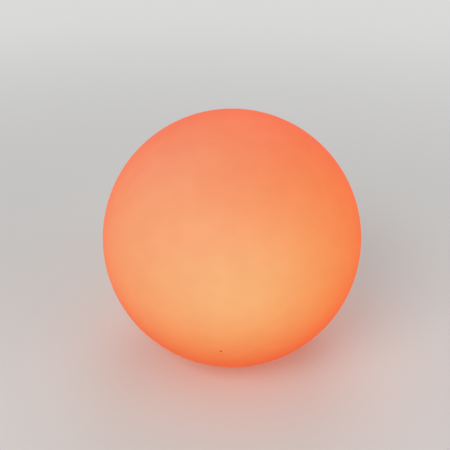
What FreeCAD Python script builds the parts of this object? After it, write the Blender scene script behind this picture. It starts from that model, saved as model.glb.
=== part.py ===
"""Cordless garden globe light.

A frosted moulded ball lifts off a twist-lock base. The base stands on a rubber ring and holds the
cells, the control board and the lamp board, which lights the ball from a little below its middle.
Millimetres, +Z up, origin on the ground under the middle of the base.
"""

import FreeCAD
import Part
import math
import os

from FreeCAD import Vector

# ---- driving sizes -------------------------------------------------------------------------------

# ball
globe_radius = 150.0
globe_wall = 3.0
lip_inside_radius = 1.5

# clearances
turn_gap = 0.5  # between lugs and the wall they pass
lug_flank_gap = 0.4  # along the axis, between two lugs' flanks
bond_gap = 0.05  # glue line round a bonded piece
flange_gap = 0.8  # flange edge to the ball's neck
slip_gap = 0.15  # pieces that slip into one another
push_gap = 0.3  # button head in its well
float_gap = 0.05  # faces of two moving pieces that almost touch

# twist-lock
lug_count = 3
lug_lead = 24.0  # rise of the ball in one full turn
lug_reach = 3.0
lug_root_height = 4.5
lug_flank_slope = 0.3
base_lug_span = 56.0
ring_lug_span = 40.0
lug_end_gap = 2.0  # degrees from the stop to the locked ring lug
stop_span = 3.0
ring_lug_z = 14.0  # start of the ring lug's helix
lug_first_angle = 12.0
lug_root_overlap = 1.0  # how far a lug is buried in its wall
neck_ring_wall = 3.5
neck_ring_height = 18.0

# seal between ball and base
seal_width = 1.9
seal_height = 2.5
seal_groove_depth = 2.0
seal_groove_gap = 0.05
seal_inset = 0.8  # ring bore to groove

# housing
cell_end_room = 7.0  # cell end to the housing's bore
housing_wall = 2.5
housing_top_z = 58.0
housing_top_thickness = 2.5
housing_shoulder_radius = 2.0
flange_bottom_z = 1.5
flange_thickness = 6.0
rib_count = 12
rib_thickness = 1.6
rib_depth = 1.2
rib_bottom_z = 17.5
rib_top_z = 30.0

# rubber ring that the lamp stands on
foot_width = 3.0
foot_height = 3.0
foot_inset = 1.1  # flange edge to the ring
foot_edge_radius = 0.6
flange_edge_chamfer = 0.5
spigot_root_fillet = 0.8
ring_lead_in = 0.6  # chamfers at the neck ring's bore
cover_edge_chamfer = 0.5
well_mouth_bevel = 1.0
well_roof_fillet = 1.4

# cover under the housing
cover_lap = 3.0  # cover edge beyond the housing bore
cover_bottom_z = 2.0
cover_thickness = 3.0
cover_spigot_wall = 1.4
cover_spigot_height = 3.0
cover_gasket_width = 1.6
cover_gasket_depth = 1.2
cover_gasket_inset = 0.6

# cover screws
cover_screw_count = 4
cover_screw_inset = 4.0  # housing bore to the screws' circle
cover_screw_angle = 45.0
cover_boss_radius = 3.5
cover_boss_top_z = 16.0
cover_screw_length = 10.0
screw_radius = 1.45
screw_hole_gap = 0.1
screw_head_radius = 2.7
screw_head_height = 1.5
screw_sink_depth = 1.7
screw_drive_radius = 1.1
screw_drive_depth = 0.8

# finger wells that turn the base
well_offset = 26.0
well_length = 24.0
well_width = 13.0
well_depth = 10.0
well_corner = 5.0
well_wall = 1.5

# push button
button_y = -15.0
button_head_radius = 6.0
button_head_height = 3.0
button_sink = 0.3
button_dish_depth = 0.5
button_dish_rim = 1.4
button_edge_radius = 0.5
button_travel = 1.2
button_well_wall = 1.7
button_well_floor = 1.5
button_spring_room = 3.7
button_stem_radius = 2.0
spring_wire = 0.6
spring_mean_radius = 4.0
spring_turns = 3.0
spring_end_gap = 0.05
stem_seal_wire = 0.8
stem_seal_neck = 1.4
clip_radius = 3.6
clip_thickness = 0.6

# charging port and its hinged flap
port_y = 17.0
port_length = 13.0
port_width = 7.4
port_corner = 2.0
port_wall = 1.6
port_floor = 1.5
port_floor_z = 8.6
socket_length = 8.9
socket_width = 3.2
socket_wall = 0.35
socket_tongue = 0.7
socket_sink = 0.2
flap_recess_depth = 2.2
flap_margin = 2.0  # flap edge beyond the port
flap_thickness = 1.6
flap_edge_gap = 0.3
flap_rim_width = 0.9
flap_rim_height = 1.2
flap_rim_gap = 0.35
hinge_bead_radius = 1.1
hinge_bead_length = 12.0
hinge_reach = 3.4  # port edge to the bead's axis
hinge_neck_thickness = 1.0
hinge_neck_length = 1.8
hinge_mouth = 0.75
flap_nail_notch = 3.0

# control board
board_length = 60.0
board_width = 30.0
board_thickness = 1.6
board_corner = 2.0
board_z = 17.0
post_inset_x = 3.0  # board edge to the posts' middles
post_inset_y = 3.5
post_radius = 2.6
board_screw_length = 8.0

# charge light
light_x = 10.5
light_y = -4.0
light_pipe_radius = 1.25
light_pipe_flange = 2.2
light_pipe_flange_height = 1.0

# small board parts
tact_size = 6.0
tact_height = 3.5
tact_plunger_radius = 1.75
tact_plunger_height = 0.6

# cells and their cradle
cell_radius = 9.2
cell_length = 65.0
cell_spacing = 19.6
cell_gap = 0.3
cell_button_radius = 3.0
cell_button_height = 1.2
cell_crimp_depth = 0.5
cell_crimp_inset = 3.0
cradle_floor = 2.5
cradle_gap = 0.6  # cradle to the housing's bore
cradle_half_width = 20.6
saddle_thickness = 3.0
saddle_y = 21.0
end_wall = 2.0
end_wall_gap = 3.0
tab_thickness = 0.3
tab_width = 7.0
tab_overhang = 4.0
strap_thickness = 1.4
strap_width = 12.0
strap_valley = 6.5  # top of the ridge between the cells, below their axes
strap_ear = 7.0
strap_ear_thickness = 2.2
strap_screw_length = 9.0
cradle_screw_y = 13.0
cradle_screw_bite = 3.6

# lamp board on top of the housing
led_board_gap = 5.5  # lamp board to the dome's bore
led_board_thickness = 1.6
led_post_height = 2.4
led_post_radius = 3.0
led_post_circle = 17.0
led_post_count = 3
led_screw_length = 5.0
led_size = 5.0
led_height = 1.6
led_window_radius = 2.0
led_window_depth = 0.4
outer_led_count = 12
outer_led_inset = 4.5  # board edge to the outer lights' circle
inner_led_count = 6
inner_led_circle = 10.0
receiver_width = 6.0
receiver_depth = 4.6
receiver_height = 6.5
receiver_lens_radius = 2.3

# diffusing dome over the lamp board
dome_edge_gap = 0.8  # dome flange to the edge of the housing's top
dome_flange_width = 5.7
dome_wall = 2.0
dome_wall_height = 5.0
dome_crown_height = 17.0
dome_shoulder_radius = 10.0
dome_flange_thickness = 2.0
dome_gasket_thickness = 1.0
dome_screw_count = 4
dome_screw_inset = 2.85  # flange edge to the screws' circle
dome_screw_angle = 45.0
dome_boss_radius = 2.6
dome_boss_height = 7.0
dome_screw_length = 8.0

# leads inside the housing
lead_radius = 1.5
lead_dome_gap = 0.8  # grommet to the dome's bore
lead_angle = 30.0
lead_bend = 5.0
lead_end_run = 1.0
grommet_wall = 1.0
grommet_lip = 0.8
terminal_height = 4.6
terminal_width = 5.0
terminal_depth = 6.0
battery_lead_radius = 1.2
battery_lead_bend = 2.5

# ---- sizes that follow ---------------------------------------------------------------------------

housing_bore_radius = cell_length / 2 + cell_end_room
spigot_radius = housing_bore_radius + housing_wall
lug_tip_radius = spigot_radius + lug_reach
ring_bore_radius = lug_tip_radius + turn_gap
ring_outer_radius = ring_bore_radius + neck_ring_wall
neck_bore_radius = ring_outer_radius + bond_gap
flange_radius = neck_bore_radius - flange_gap
flange_top_z = flange_bottom_z + flange_thickness
seal_groove_inner = ring_bore_radius + seal_inset
seal_inner = seal_groove_inner + seal_groove_gap
seal_outer = seal_inner + seal_width
seal_groove_outer = seal_outer + seal_groove_gap
seal_top_z = flange_top_z + seal_height
ring_bottom_z = seal_top_z - seal_groove_depth
ring_top_z = ring_bottom_z + neck_ring_height
lip_radius = lip_inside_radius + globe_wall
lip_centre_radius = neck_bore_radius + lip_radius
lip_centre_z = ring_bottom_z
globe_centre_z = lip_centre_z + math.sqrt((globe_radius - lip_radius) ** 2 - lip_centre_radius**2)
lug_half_height = lug_root_height / 2
base_lug_z = ring_lug_z + lug_root_height - lug_flank_slope * (lug_reach + turn_gap) + lug_flank_gap

cover_radius = housing_bore_radius + cover_lap
cover_screw_circle = housing_bore_radius - cover_screw_inset
cover_top_z = cover_bottom_z + cover_thickness
cover_spigot_radius = housing_bore_radius - slip_gap
cover_gasket_inner = housing_bore_radius + cover_gasket_inset
foot_outer = flange_radius - foot_inset
foot_inner = foot_outer - foot_width
well_roof_z = cover_bottom_z + well_depth

button_bottom_z = cover_bottom_z + button_sink
button_top_z = button_bottom_z + button_head_height
button_floor_z = button_top_z + button_spring_room
button_floor_top_z = button_floor_z + button_well_floor
button_well_radius = button_head_radius + push_gap
clip_z = button_floor_top_z + float_gap
stem_top_z = board_z - tact_height - tact_plunger_height - button_travel - float_gap
flap_top_z = cover_bottom_z + flap_recess_depth - slip_gap
flap_bottom_z = flap_top_z - flap_thickness
hinge_z = (flap_top_z + flap_bottom_z) / 2
hinge_y = port_y + port_width / 2 + hinge_reach
flap_end_y = port_y - port_width / 2 - flap_margin
flap_half_length = port_length / 2 + flap_margin
board_top_z = board_z + board_thickness
post_x = board_width / 2 - post_inset_x
post_y = board_length / 2 - post_inset_y

cradle_top_z = housing_top_z - housing_top_thickness
cell_z = cradle_top_z - cradle_floor - cell_gap - cell_radius
cell_x = cell_spacing / 2
cradle_clear_radius = housing_bore_radius - cradle_gap
dome_flange_radius = spigot_radius - dome_edge_gap
dome_radius = dome_flange_radius - dome_flange_width
dome_bore_radius = dome_radius - dome_wall
dome_screw_circle = dome_flange_radius - dome_screw_inset
led_board_radius = dome_bore_radius - led_board_gap
outer_led_circle = led_board_radius - outer_led_inset
lead_circle = dome_bore_radius - lead_dome_gap - lead_radius - grommet_wall - grommet_lip
lead_x = lead_circle * math.cos(math.radians(lead_angle))
lead_y = lead_circle * math.sin(math.radians(lead_angle))
grommet_room = lead_radius + grommet_wall + grommet_lip + push_gap
led_board_z = housing_top_z + led_post_height
led_board_top_z = led_board_z + led_board_thickness
dome_flange_z = housing_top_z + dome_gasket_thickness


# ---- helpers -------------------------------------------------------------------------------------


def disc(radius, bottom, top, x=0.0, y=0.0):
    """An upright cylinder between two heights."""
    return Part.makeCylinder(radius, top - bottom, Vector(x, y, bottom))


def rod_along_y(radius, length, x, z):
    """A cylinder along Y, centred on y = 0."""
    return Part.makeCylinder(radius, length, Vector(x, -length / 2, z), Vector(0, 1, 0))


def flat_edges(solid, height):
    """The edges that lie wholly at one height."""
    boxes = [(edge, edge.BoundBox) for edge in solid.Edges]
    return [edge for edge, box in boxes if max(abs(box.ZMin - height), abs(box.ZMax - height)) < 1e-6]


def ring(inner, outer, bottom, top, x=0.0, y=0.0):
    """An upright tube between two heights."""
    return disc(outer, bottom, top, x, y).cut(disc(inner, bottom, top, x, y))


def block(length, width, bottom, top, x=0.0, y=0.0):
    """A box centred on x and y."""
    return Part.makeBox(length, width, top - bottom, Vector(x - length / 2, y - width / 2, bottom))


def round_block(length, width, corner, bottom, top, x=0.0, y=0.0):
    """A box centred on x and y with rounded upright edges."""
    box = block(length, width, bottom, top, x, y)
    upright = [e for e in box.Edges if abs(e.Vertexes[0].Z - e.Vertexes[1].Z) > (top - bottom) / 2]
    return box.makeFillet(corner, upright)


def spun(edges):
    """A solid of revolution about Z from closed edges in the XZ plane."""
    face = Part.Face(Part.Wire(edges))
    solid = face.revolve(Vector(0, 0, 0), Vector(0, 0, 1), 360)
    return solid if solid.Volume > 0 else solid.reversed()


def polyline(points):
    """Straight edges through points given as (radius, height)."""
    corners = [Vector(r, 0, z) for r, z in points]
    return [Part.makeLine(a, b) for a, b in zip(corners, corners[1:])]


def spun_polygon(points):
    """A solid of revolution about Z from a closed polygon of (radius, height)."""
    return spun(polyline(points + points[:1]))


def arc(start, middle, end):
    """An arc in the XZ plane through three points given as (radius, height)."""
    return Part.Arc(*[Vector(r, 0, z) for r, z in (start, middle, end)]).toShape()


def on_circle(centre, radius, degrees):
    """The point of a circle in the XZ plane, as (radius, height)."""
    a = math.radians(degrees)
    return centre[0] + radius * math.cos(a), centre[1] + radius * math.sin(a)


def places(count, circle, first=0.0):
    """Evenly spaced points on a circle about Z, as (x, y, degrees)."""
    for i in range(count):
        degrees = first + 360.0 * i / count
        a = math.radians(degrees)
        yield circle * math.cos(a), circle * math.sin(a), degrees


def turned(shape, degrees):
    """A copy turned about Z."""
    copy = shape.copy()
    copy.rotate(Vector(0, 0, 0), Vector(0, 0, 1), degrees)
    return copy


def moved(shape, x=0.0, y=0.0, z=0.0):
    """A copy shifted."""
    copy = shape.copy()
    copy.translate(Vector(x, y, z))
    return copy


def fused(shapes):
    """One solid from shapes that overlap."""
    return shapes[0].multiFuse(shapes[1:]).removeSplitter()


def bent_tube(points, bends, radius):
    """A round tube along straight runs joined by tangent arcs, one bend radius for each inner point."""
    corners = [Vector(*p) for p in points]
    edges, start = [], corners[0]
    for before, corner, after, bend in zip(corners, corners[1:], corners[2:], bends):
        back = (before - corner).normalize()
        on = (after - corner).normalize()
        half = back.getAngle(on) / 2
        reach = bend / math.tan(half)
        enter, leave = corner + back * reach, corner + on * reach
        middle_line = (back + on).normalize()
        middle = corner + middle_line * (bend / math.sin(half) - bend)
        edges.append(Part.makeLine(start, enter))
        edges.append(Part.Arc(enter, middle, leave).toShape())
        start = leave
    edges.append(Part.makeLine(start, corners[-1]))
    path = Part.Wire(edges)
    first_run = corners[1] - corners[0]
    section = Part.Wire(Part.makeCircle(radius, corners[0], first_run))
    return path.makePipeShell([section], True, True)


def screw(length, x=0.0, y=0.0, z=0.0, down=False):
    """A pan-head screw whose head sits on z; its shank goes up, or down."""
    head = disc(screw_head_radius, 0, screw_head_height)
    head = head.makeFillet(screw_head_height / 2, flat_edges(head, screw_head_height))
    drive = block(2 * screw_drive_radius, screw_drive_radius / 2, screw_head_height - screw_drive_depth,
                  screw_head_height + 1)
    body = head.fuse(disc(screw_radius, -length, 0)).cut(drive.fuse(turned(drive, 90)))
    if not down:
        body.rotate(Vector(0, 0, 0), Vector(1, 0, 0), 180)
    return moved(body, x, y, z)


# ---- ball ----------------------------------------------------------------------------------------


def globe_shell():
    """One hollow moulding: the ball, the lip that turns in under it, and the neck inside."""
    centre = (0.0, globe_centre_z)
    lip = (lip_centre_radius, lip_centre_z)
    lean = math.degrees(math.atan2(lip_centre_z - globe_centre_z, lip_centre_radius))
    inner_radius = globe_radius - globe_wall
    neck_outer = neck_bore_radius + globe_wall
    lip_turn = (lean - 180.0) / 2
    outer_end = on_circle(centre, globe_radius, lean)
    inner_end = on_circle(centre, inner_radius, lean)
    outer_top = (0.0, globe_centre_z + globe_radius)
    inner_top = (0.0, globe_centre_z + inner_radius)
    neck_line = [(neck_bore_radius, lip_centre_z), (neck_bore_radius, ring_top_z),
                 (neck_outer, ring_top_z), (neck_outer, lip_centre_z)]
    edges = [
        arc(outer_top, on_circle(centre, globe_radius, (90 + lean) / 2), outer_end),
        arc(outer_end, on_circle(lip, lip_radius, lip_turn), neck_line[0]),
        *polyline(neck_line),
        arc(neck_line[-1], on_circle(lip, lip_inside_radius, lip_turn), inner_end),
        arc(inner_end, on_circle(centre, inner_radius, (90 + lean) / 2), inner_top),
        *polyline([inner_top, outer_top]),
    ]
    return spun(edges)


def lug(inner, outer, root_inside, span, start_degrees, start_z):
    """A helical lug with sloped flanks, rooted on its inner or its outer side."""
    rise = lug_lead * span / 360.0
    tip_half = lug_half_height - lug_flank_slope * (outer - inner)
    buried_half = lug_half_height + lug_flank_slope * lug_root_overlap
    if root_inside:
        sides = [(inner - lug_root_overlap, buried_half), (outer, tip_half)]
    else:
        sides = [(inner, tip_half), (outer + lug_root_overlap, buried_half)]
    (r0, h0), (r1, h1) = sides
    section = Part.Wire(polyline([(r0, -h0), (r1, -h1), (r1, h1), (r0, h0), (r0, -h0)]))
    helix = Part.Wire(Part.makeHelix(lug_lead, rise, (inner + outer) / 2).Edges)
    body = helix.makePipeShell([section], True, True)
    return moved(turned(body, start_degrees), z=start_z)


def neck_ring():
    """The ring bonded in the ball's neck: a seal groove underneath and helical lugs inside."""
    lead_in_radius = ring_bore_radius + ring_lead_in
    body = spun_polygon([(lead_in_radius, ring_bottom_z), (ring_outer_radius, ring_bottom_z),
                         (ring_outer_radius, ring_top_z), (lead_in_radius, ring_top_z),
                         (ring_bore_radius, ring_top_z - ring_lead_in),
                         (ring_bore_radius, ring_bottom_z + ring_lead_in)])
    body = body.cut(ring(seal_groove_inner, seal_groove_outer, ring_bottom_z - 1, seal_top_z))
    tip = ring_bore_radius - lug_reach
    lugs = [lug(tip, ring_bore_radius, False, ring_lug_span, degrees + lug_end_gap, ring_lug_z)
            for _, _, degrees in places(lug_count, 1, lug_first_angle)]
    return fused([body] + lugs)


def globe_seal():
    """The rubber ring that stays in the groove of the neck ring."""
    return ring(seal_inner, seal_outer, flange_top_z, seal_top_z)


# ---- base housing --------------------------------------------------------------------------------


def housing_body():
    """Flange, wall and closed top as one turned form, with the ledge that the cover seats on."""
    shoulder = housing_shoulder_radius
    top_start = (spigot_radius, housing_top_z - shoulder)
    top_end = (spigot_radius - shoulder, housing_top_z)
    round_centre = (spigot_radius - shoulder, housing_top_z - shoulder)
    recess_radius = cover_radius + slip_gap
    root = spigot_root_fillet
    root_centre = (spigot_radius + root, flange_top_z + root)
    inside = [(0, housing_top_z), (0, cradle_top_z), (housing_bore_radius, cradle_top_z),
              (housing_bore_radius, cover_top_z), (recess_radius, cover_top_z)]
    flange = [(recess_radius, flange_bottom_z), (flange_radius - flange_edge_chamfer, flange_bottom_z),
              (flange_radius, flange_bottom_z + flange_edge_chamfer), (flange_radius, flange_top_z),
              (spigot_radius + root, flange_top_z)]
    spigot = [(spigot_radius, flange_top_z + root), top_start]
    edges = [
        *polyline(inside + flange),
        arc(flange[-1], on_circle(root_centre, root, 225), spigot[0]),
        *polyline(spigot),
        arc(top_start, on_circle(round_centre, shoulder, 45), top_end),
        *polyline([top_end, (0, housing_top_z)]),
    ]
    return spun(edges)


def base_lug(degrees):
    """One outside lug, with the stop that ends the locking turn under its low end."""
    body = lug(spigot_radius, lug_tip_radius, True, base_lug_span, degrees, base_lug_z)
    stop_bottom = ring_lug_z - lug_half_height
    stop_top = base_lug_z + lug_half_height - lug_flank_slope * lug_reach
    sector = Part.makeCylinder(lug_tip_radius, stop_top - stop_bottom, Vector(0, 0, stop_bottom),
                               Vector(0, 0, 1), stop_span)
    sector = sector.cut(disc(spigot_radius - lug_root_overlap, stop_bottom, stop_top))
    return body.fuse(turned(sector, degrees - stop_span + lug_end_gap / 2))


def base_housing():
    """The moulded housing: lugs, screw bosses, ribs and lamp-board posts."""
    solids = [housing_body()]
    solids += [base_lug(degrees) for _, _, degrees in places(lug_count, 1, lug_first_angle)]
    boss_root = housing_bore_radius + housing_wall / 2
    for x, y, degrees in places(cover_screw_count, cover_screw_circle, cover_screw_angle):
        web_length = boss_root - cover_screw_circle
        web = turned(block(web_length, 2 * rib_thickness, cover_top_z, cover_boss_top_z,
                           cover_screw_circle + web_length / 2), degrees)
        solids += [disc(cover_boss_radius, cover_top_z, cover_boss_top_z, x, y), web]
    for x, y, _ in places(dome_screw_count, dome_screw_circle, dome_screw_angle):
        solids.append(disc(dome_boss_radius, cradle_top_z - dome_boss_height, housing_top_z - 0.5, x, y))
    for x, y, _ in list(places(led_post_count, led_post_circle)) + cradle_screw_places():
        solids.append(disc(led_post_radius, cradle_top_z + 0.5, led_board_z, x, y))
    for _, _, degrees in places(rib_count, 1, 180.0 / rib_count):
        inner = housing_bore_radius - rib_depth
        rib = block(boss_root - inner, rib_thickness, rib_bottom_z, rib_top_z, (boss_root + inner) / 2)
        solids.append(turned(rib, degrees))
    body = fused(solids)
    return body.cut(Part.makeCompound(housing_holes()))


def housing_holes():
    """Pilot holes for every screw, the lead's hole and the foot groove."""
    pilot = screw_radius + screw_hole_gap
    blind = 1.0
    holes = [ring(foot_inner - slip_gap, foot_outer + slip_gap, flange_bottom_z - 1, foot_height)]
    for x, y, _ in places(cover_screw_count, cover_screw_circle, cover_screw_angle):
        holes.append(disc(pilot, cover_top_z - 1, cover_boss_top_z - blind, x, y))
    for x, y, _ in places(dome_screw_count, dome_screw_circle, dome_screw_angle):
        holes.append(disc(pilot, cradle_top_z - dome_boss_height + blind, housing_top_z + 1, x, y))
    for x, y, _ in places(led_post_count, led_post_circle):
        holes.append(disc(pilot, cradle_top_z + 0.5, led_board_z + 1, x, y))
    for x, y, _ in cradle_screw_places():
        holes.append(disc(pilot, cradle_top_z - 1, cradle_top_z + cradle_screw_bite + 0.3, x, y))
    holes.append(disc(lead_radius + grommet_wall, cradle_top_z - 1, housing_top_z + 1, lead_x, lead_y))
    return holes


def cradle_screw_places():
    """Where the cradle screws into the housing's top, between the two cells."""
    return list(places(2, cradle_screw_y, 90.0))


def foot_ring():
    """The rubber ring that the lamp stands on, seated in the flange's groove."""
    body = ring(foot_inner, foot_outer, 0, foot_height)
    ground_edges = [e for e in body.Edges if e.Closed and e.BoundBox.ZMax < 1e-6]
    return body.makeFillet(foot_edge_radius, ground_edges)


# ---- cover under the housing ---------------------------------------------------------------------


def bottom_cover():
    """The screwed cover: finger wells, button well, charging port, light-pipe hole and board posts."""
    plate = disc(cover_radius, cover_bottom_z, cover_top_z)
    plate = plate.makeChamfer(cover_edge_chamfer, flat_edges(plate, cover_bottom_z))
    rooted = cover_bottom_z + cover_thickness / 2
    solids = [plate, cover_spigot()]
    for side in (-1, 1):
        well = round_block(well_width + 2 * well_wall, well_length + 2 * well_wall, well_corner + well_wall,
                           rooted, well_roof_z + well_wall, side * well_offset)
        solids.append(well.makeFillet(well_roof_fillet, flat_edges(well, well_roof_z + well_wall)))
    solids.append(disc(button_well_radius + button_well_wall, rooted, button_floor_top_z, 0, button_y))
    solids.append(round_block(port_length + 2 * port_wall, port_width + 2 * port_wall,
                              port_corner + port_wall, rooted, port_floor_z + port_floor, 0, port_y))
    for x in (-post_x, post_x):
        for y in (-post_y, post_y):
            solids.append(disc(post_radius, rooted, board_z, x, y))
    solids.append(flap_backing(rooted))
    body = fused(solids)
    return body.cut(Part.makeCompound([fused(flap_room())] + cover_holes()))


def cover_spigot():
    """The low wall that centres the cover in the housing, open at each screw boss."""
    top = cover_top_z + cover_spigot_height
    wall = ring(cover_spigot_radius - cover_spigot_wall, cover_spigot_radius, cover_top_z - 0.5, top)
    for _, _, degrees in places(cover_screw_count, 1, cover_screw_angle):
        room = block(4 * cover_boss_radius, 2 * (cover_boss_radius + push_gap), cover_top_z, top,
                     cover_screw_circle)
        wall = wall.cut(turned(room, degrees))
    return wall


def flap_backing(bottom):
    """The thicker pad behind the flap's recess and its hinge groove."""
    front = flap_end_y - port_wall
    back = hinge_y + hinge_bead_radius + port_wall
    top = hinge_z + hinge_bead_radius + slip_gap + port_wall
    return block(2 * (flap_half_length + port_wall), back - front, bottom, top, 0, (back + front) / 2)


def flap_room():
    """What the flap and its hinge bead need in the cover, and the port behind them."""
    half = flap_half_length + flap_edge_gap
    front = flap_end_y - flap_edge_gap
    back = hinge_y + hinge_mouth
    groove = Part.makeCylinder(hinge_bead_radius + slip_gap, hinge_bead_length + 2 * slip_gap,
                               Vector(-hinge_bead_length / 2 - slip_gap, hinge_y, hinge_z), Vector(1, 0, 0))
    return [
        block(2 * half, back - front, cover_bottom_z - 1, cover_bottom_z + flap_recess_depth, 0,
              (back + front) / 2),
        groove,
        round_block(port_length, port_width, port_corner, cover_bottom_z, port_floor_z, 0, port_y),
        round_block(socket_length + 2 * slip_gap, socket_width + 2 * slip_gap, socket_width / 2,
                    port_floor_z - 1, port_floor_z + port_floor + 1, 0, port_y),
    ]


def finger_well(side):
    """The room of one finger well, its roof rounded and its mouth opened by a wider bevel."""
    room = round_block(well_width, well_length, well_corner, cover_bottom_z - 1, well_roof_z,
                       side * well_offset)
    room = room.makeFillet(well_roof_fillet, flat_edges(room, well_roof_z))
    mouth_top = cover_bottom_z + well_mouth_bevel
    mouth = round_block(well_width + 2 * well_mouth_bevel, well_length + 2 * well_mouth_bevel,
                        well_corner + well_mouth_bevel, cover_bottom_z - 1, mouth_top, side * well_offset)
    return room.fuse(mouth.makeChamfer(well_mouth_bevel, flat_edges(mouth, mouth_top)))


def cover_holes():
    """The wells, the button's bore, the light pipe's hole, screw holes and the gasket groove."""
    gasket_outer = cover_gasket_inner + cover_gasket_width
    holes = [ring(cover_gasket_inner, gasket_outer, cover_top_z - cover_gasket_depth, cover_top_z + 1)]
    holes += [finger_well(side) for side in (-1, 1)]
    bore = disc(button_well_radius, cover_bottom_z - 1, button_floor_z, 0, button_y)
    stem_hole = disc(button_stem_radius + slip_gap, cover_bottom_z, button_floor_top_z + 1, 0, button_y)
    holes.append(bore.fuse(stem_hole))
    pipe_hole = light_pipe_radius + slip_gap
    holes.append(disc(pipe_hole, cover_bottom_z - 1, cover_top_z + 1, light_x, light_y))
    sink_top = cover_bottom_z + screw_sink_depth
    for x, y, _ in places(cover_screw_count, cover_screw_circle, cover_screw_angle):
        sink = disc(screw_head_radius + push_gap, cover_bottom_z - 1, sink_top, x, y)
        holes.append(sink.fuse(disc(screw_radius + slip_gap, cover_bottom_z, cover_top_z + 1, x, y)))
    for x in (-post_x, post_x):
        for y in (-post_y, post_y):
            holes.append(disc(screw_radius + screw_hole_gap, cover_top_z, board_z + 1, x, y))
    return holes


def cover_gasket():
    """The rubber ring pressed between the cover and the housing's ledge."""
    return ring(cover_gasket_inner + float_gap, cover_gasket_inner + cover_gasket_width - float_gap,
                cover_top_z - cover_gasket_depth, cover_top_z)


def cover_screws():
    """The screws that hold the cover, driven up into the housing's bosses."""
    seat = cover_bottom_z + screw_sink_depth
    return [screw(cover_screw_length, x, y, seat)
            for x, y, _ in places(cover_screw_count, cover_screw_circle, cover_screw_angle)]


# ---- push button ---------------------------------------------------------------------------------


def power_button():
    """A dished head on a stem; the stem has a groove for its seal and one for its clip."""
    head = disc(button_head_radius, button_bottom_z, button_top_z)
    head = head.makeFillet(button_edge_radius, flat_edges(head, button_bottom_z))
    dish_radius = button_head_radius - button_dish_rim
    bowl_radius = (dish_radius**2 + button_dish_depth**2) / (2 * button_dish_depth)
    bowl = Part.makeSphere(bowl_radius, Vector(0, 0, button_bottom_z + button_dish_depth - bowl_radius))
    body = head.cut(bowl).fuse(disc(button_stem_radius, button_top_z - 0.5, stem_top_z))
    seal_z = button_floor_z + button_well_floor / 2
    seal_groove = ring(stem_seal_neck, button_stem_radius + 1, seal_z - stem_seal_wire / 2 - float_gap,
                       seal_z + stem_seal_wire / 2 + float_gap)
    clip_groove = ring(stem_seal_neck, button_stem_radius + 1, clip_z, clip_z + clip_thickness)
    return moved(body.cut(seal_groove).cut(clip_groove), y=button_y)


def button_seal():
    """The small rubber ring in the stem's groove."""
    seal_z = button_floor_z + button_well_floor / 2
    half = stem_seal_wire / 2
    outer = button_stem_radius + slip_gap - float_gap
    return ring(stem_seal_neck, outer, seal_z - half, seal_z + half, 0, button_y)


def button_clip():
    """The open spring clip that keeps the stem in its bore."""
    body = ring(stem_seal_neck, clip_radius, clip_z, clip_z + clip_thickness)
    gap = block(clip_radius, 1.8 * stem_seal_neck, clip_z, clip_z + clip_thickness, clip_radius / 2)
    return moved(body.cut(gap), y=button_y)


def button_spring():
    """The coil spring that pushes the button's head out."""
    room = button_spring_room - 2 * spring_end_gap - spring_wire
    quarters = int(round(4 * spring_turns))

    coil = []
    for i in range(2 * quarters + 1):
        a = math.radians(45 * i)
        height = room * i / (2 * quarters)
        coil.append(Vector(spring_mean_radius * math.cos(a), spring_mean_radius * math.sin(a), height))
    arcs = [Part.Arc(*coil[2 * i : 2 * i + 3]).toShape() for i in range(quarters)]
    path = Part.Wire(arcs)
    section = Part.Wire(Part.makeCircle(spring_wire / 2, coil[0], Vector(0, 1, 0)))
    body = path.makePipeShell([section], True, False)
    return moved(body, y=button_y, z=button_top_z + spring_end_gap + spring_wire / 2)


# ---- charging port flap --------------------------------------------------------------------------


def port_flap():
    """A rubber lid with a sealing rim; a thin neck joins it to the bead it swings on."""
    neck_y = hinge_y - hinge_neck_length
    lid = round_block(2 * flap_half_length, neck_y - flap_end_y, port_corner, flap_bottom_z, flap_top_z, 0,
                      (neck_y + flap_end_y) / 2)
    neck = block(hinge_bead_length, hinge_neck_length + 1, hinge_z - hinge_neck_thickness / 2,
                 hinge_z + hinge_neck_thickness / 2, 0, hinge_y - (hinge_neck_length + 1) / 2)
    bead_start = Vector(-hinge_bead_length / 2, hinge_y, hinge_z)
    bead = Part.makeCylinder(hinge_bead_radius, hinge_bead_length, bead_start, Vector(1, 0, 0))
    rim_length = port_length - 2 * flap_rim_gap
    rim_width = port_width - 2 * flap_rim_gap
    rim = round_block(rim_length, rim_width, port_corner - flap_rim_gap, flap_top_z - 0.5,
                      flap_top_z + flap_rim_height, 0, port_y)
    inside = round_block(rim_length - 2 * flap_rim_width, rim_width - 2 * flap_rim_width,
                         port_corner - flap_rim_gap - flap_rim_width, flap_top_z,
                         flap_top_z + flap_rim_height + 1, 0, port_y)
    nail = disc(flap_nail_notch, flap_bottom_z - 1, hinge_z, 0, flap_end_y - flap_nail_notch / 2)
    return fused([lid, neck, bead, rim]).cut(inside).cut(nail)


# ---- control board and what is on it -------------------------------------------------------------


def control_board():
    """The circuit board on the cover's posts."""
    body = round_block(board_width, board_length, board_corner, board_z, board_top_z)
    for x in (-post_x, post_x):
        for y in (-post_y, post_y):
            body = body.cut(disc(screw_radius + slip_gap, board_z - 1, board_top_z + 1, x, y))
    return body


def board_screws():
    """The screws through the board into the posts."""
    return [screw(board_screw_length, x, y, board_top_z, down=True)
            for x in (-post_x, post_x) for y in (-post_y, post_y)]


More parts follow.
